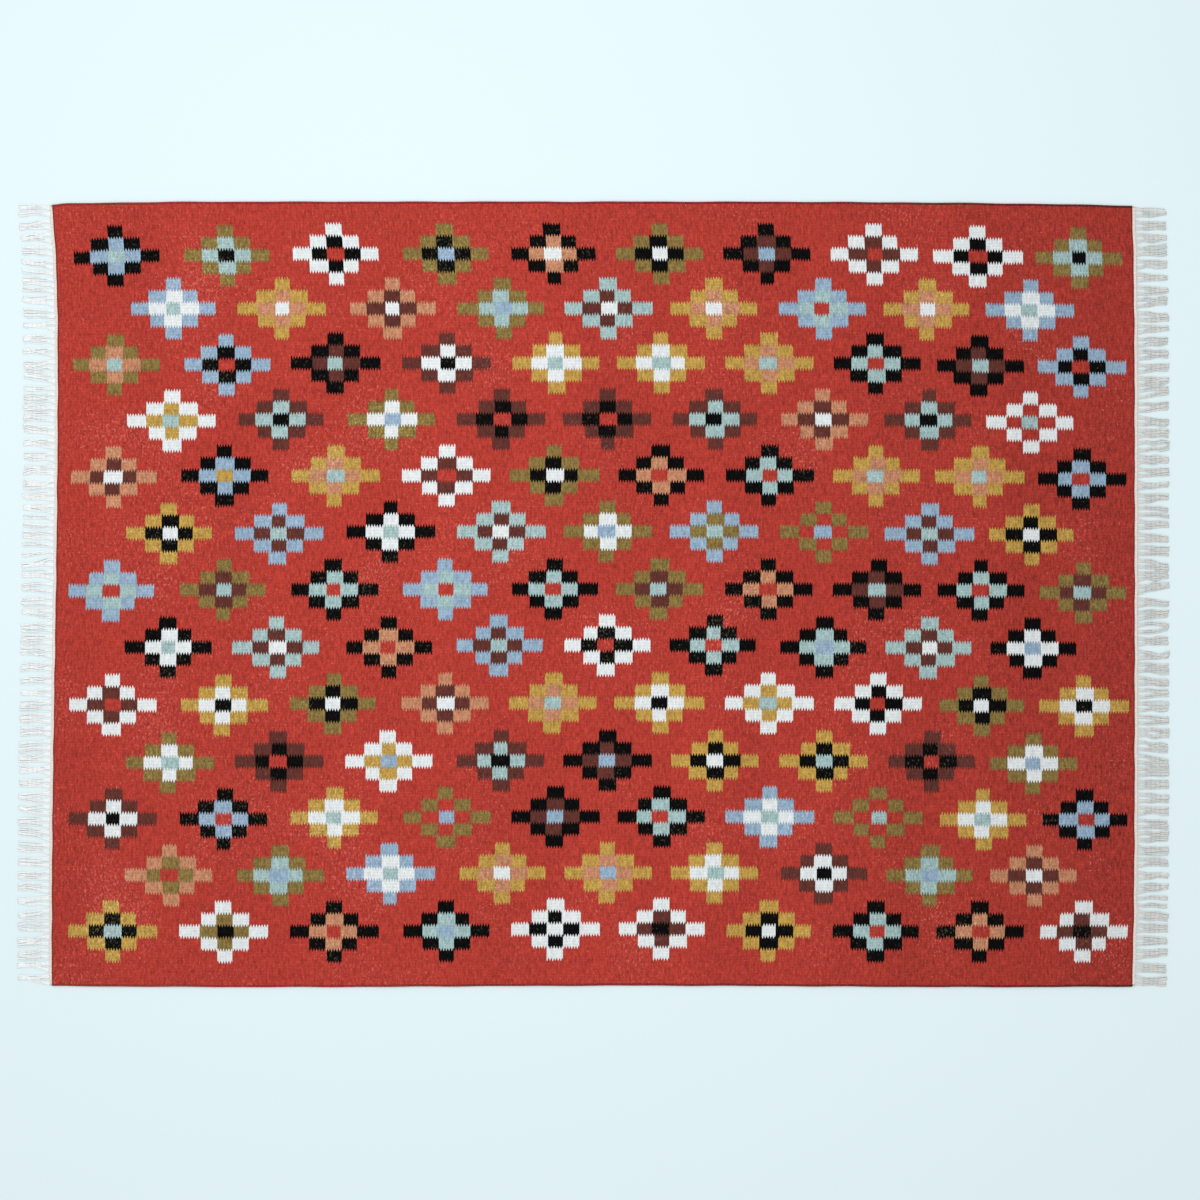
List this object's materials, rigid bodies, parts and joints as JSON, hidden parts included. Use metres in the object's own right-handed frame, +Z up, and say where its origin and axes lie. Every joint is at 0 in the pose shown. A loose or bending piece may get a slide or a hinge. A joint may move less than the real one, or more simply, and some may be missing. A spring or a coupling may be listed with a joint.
{
  "type": "area rug",
  "caption": "Flat-woven wool rug with staggered stepped diamonds on a red ground, overcast long edges and a cotton fringe that folds at each end.",
  "frame": {"origin": "middle of the underside, on the floor that the rug lies on", "axes": "+X along the warps, from the left fringe to the right one; +Y along the wefts, from the front selvedge to the back one; +Z up"},
  "size_m": [2.4932, 1.7, 0.0036],
  "materials": {
    "red_wool": "matt weft-faced wool",
    "motif_wool": "matt weft-faced wool in eight yarn colours",
    "selvedge_wool": "matt whipped wool yarn",
    "raw_cotton": "matt undyed cotton yarn",
    "cotton_web": "matt plain-woven cotton",
    "fringe_cotton": "loosely twisted undyed cotton"
  },
  "bodies": {
    "rug": {"weft_field": "red_wool", "warp_core": "raw_cotton", "end_web_left": "cotton_web", "end_web_right": "cotton_web", "selvedge_wrap_front": "selvedge_wool", "selvedge_wrap_back": "selvedge_wool", "selvedge_cord_front": "raw_cotton", "selvedge_cord_back": "raw_cotton"},
    "fringe_left": {"fringe_left_01": "fringe_cotton", "fringe_left_02": "fringe_cotton", "fringe_left_03": "fringe_cotton", "fringe_left_04": "fringe_cotton", "fringe_left_05": "fringe_cotton", "fringe_left_06": "fringe_cotton", "fringe_left_07": "fringe_cotton", "fringe_left_08": "fringe_cotton", "fringe_left_09": "fringe_cotton", "fringe_left_10": "fringe_cotton", "fringe_left_11": "fringe_cotton", "fringe_left_12": "fringe_cotton", "fringe_left_13": "fringe_cotton", "fringe_left_14": "fringe_cotton", "fringe_left_15": "fringe_cotton", "fringe_left_16": "fringe_cotton", "fringe_left_17": "fringe_cotton", "fringe_left_18": "fringe_cotton", "fringe_left_19": "fringe_cotton", "fringe_left_20": "fringe_cotton", "fringe_left_21": "fringe_cotton", "fringe_left_22": "fringe_cotton", "fringe_left_23": "fringe_cotton", "fringe_left_24": "fringe_cotton"},
    "fringe_right": {"fringe_right_01": "fringe_cotton", "fringe_right_02": "fringe_cotton", "fringe_right_03": "fringe_cotton", "fringe_right_04": "fringe_cotton", "fringe_right_05": "fringe_cotton", "fringe_right_06": "fringe_cotton", "fringe_right_07": "fringe_cotton", "fringe_right_08": "fringe_cotton", "fringe_right_09": "fringe_cotton", "fringe_right_10": "fringe_cotton", "fringe_right_11": "fringe_cotton", "fringe_right_12": "fringe_cotton", "fringe_right_13": "fringe_cotton", "fringe_right_14": "fringe_cotton", "fringe_right_15": "fringe_cotton", "fringe_right_16": "fringe_cotton", "fringe_right_17": "fringe_cotton", "fringe_right_18": "fringe_cotton", "fringe_right_19": "fringe_cotton", "fringe_right_20": "fringe_cotton", "fringe_right_21": "fringe_cotton", "fringe_right_22": "fringe_cotton", "fringe_right_23": "fringe_cotton", "fringe_right_24": "fringe_cotton"}
  },
  "joints": [
    {"name": "fringe_left_fold", "type": "hinge", "parent": "rug", "child": "fringe_left", "pos_m": [-1.1763, 0, 0.0036], "axis": [0, 1, 0], "range_deg": [0, 179.5]},
    {"name": "fringe_right_fold", "type": "hinge", "parent": "rug", "child": "fringe_right", "pos_m": [1.1763, 0, 0.0036], "axis": [0, -1, 0], "range_deg": [0, 179.5]}
  ]
}
